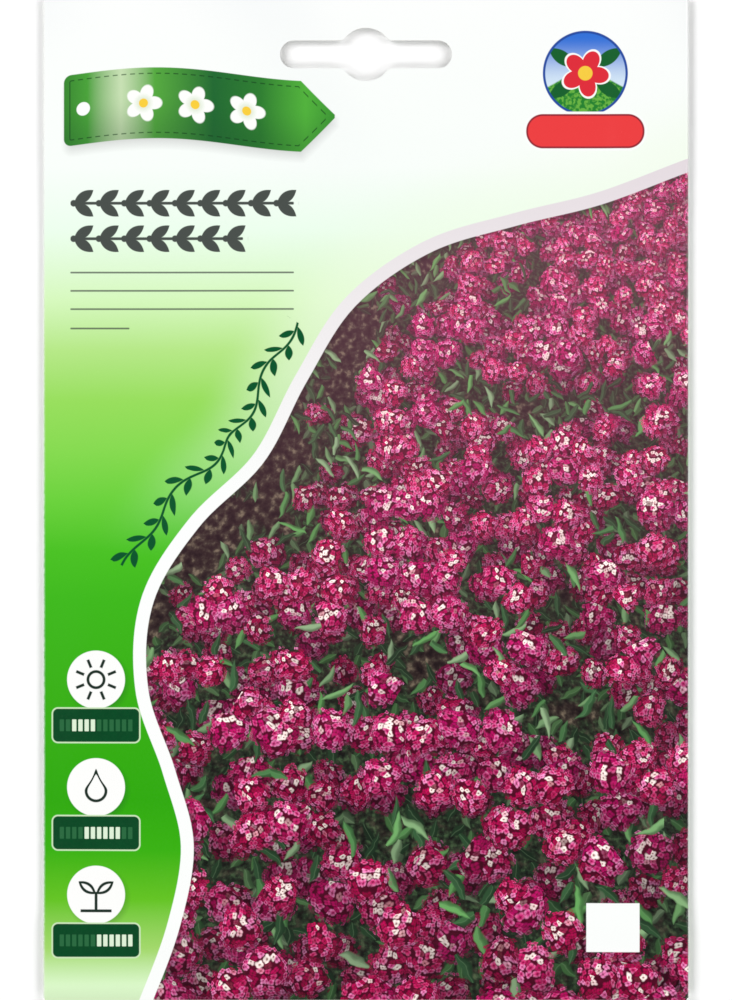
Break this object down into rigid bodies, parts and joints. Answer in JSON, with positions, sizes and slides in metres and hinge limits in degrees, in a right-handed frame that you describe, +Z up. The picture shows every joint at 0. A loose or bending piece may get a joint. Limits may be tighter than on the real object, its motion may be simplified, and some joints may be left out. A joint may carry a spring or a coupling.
{
  "type": "seed packet",
  "caption": "Flat folded paper envelope with a round-eyed hang slot in its glued header and a sealed foil sachet of small seeds inside.",
  "frame": {"origin": "middle of the packet's footprint, on the surface it lies on", "axes": "+Z up, out of the printed front; +Y from the bottom fold to the header; +X to the right as the front is looked at"},
  "size_m": [0.12, 0.187, 0.0038],
  "materials": {
    "printed_paper": "gloss coated and printed",
    "glue": "dried cream adhesive",
    "foil": "satin",
    "seed": "matte"
  },
  "bodies": {
    "root": {"envelope": "printed_paper", "side_lap_glue": "glue", "bottom_lap_glue": "glue", "header_glue_lower": "glue", "header_glue_upper": "glue", "sachet_back_film": "foil", "sachet_front_film": "foil", "seeds": "seed"}
  },
  "joints": []
}
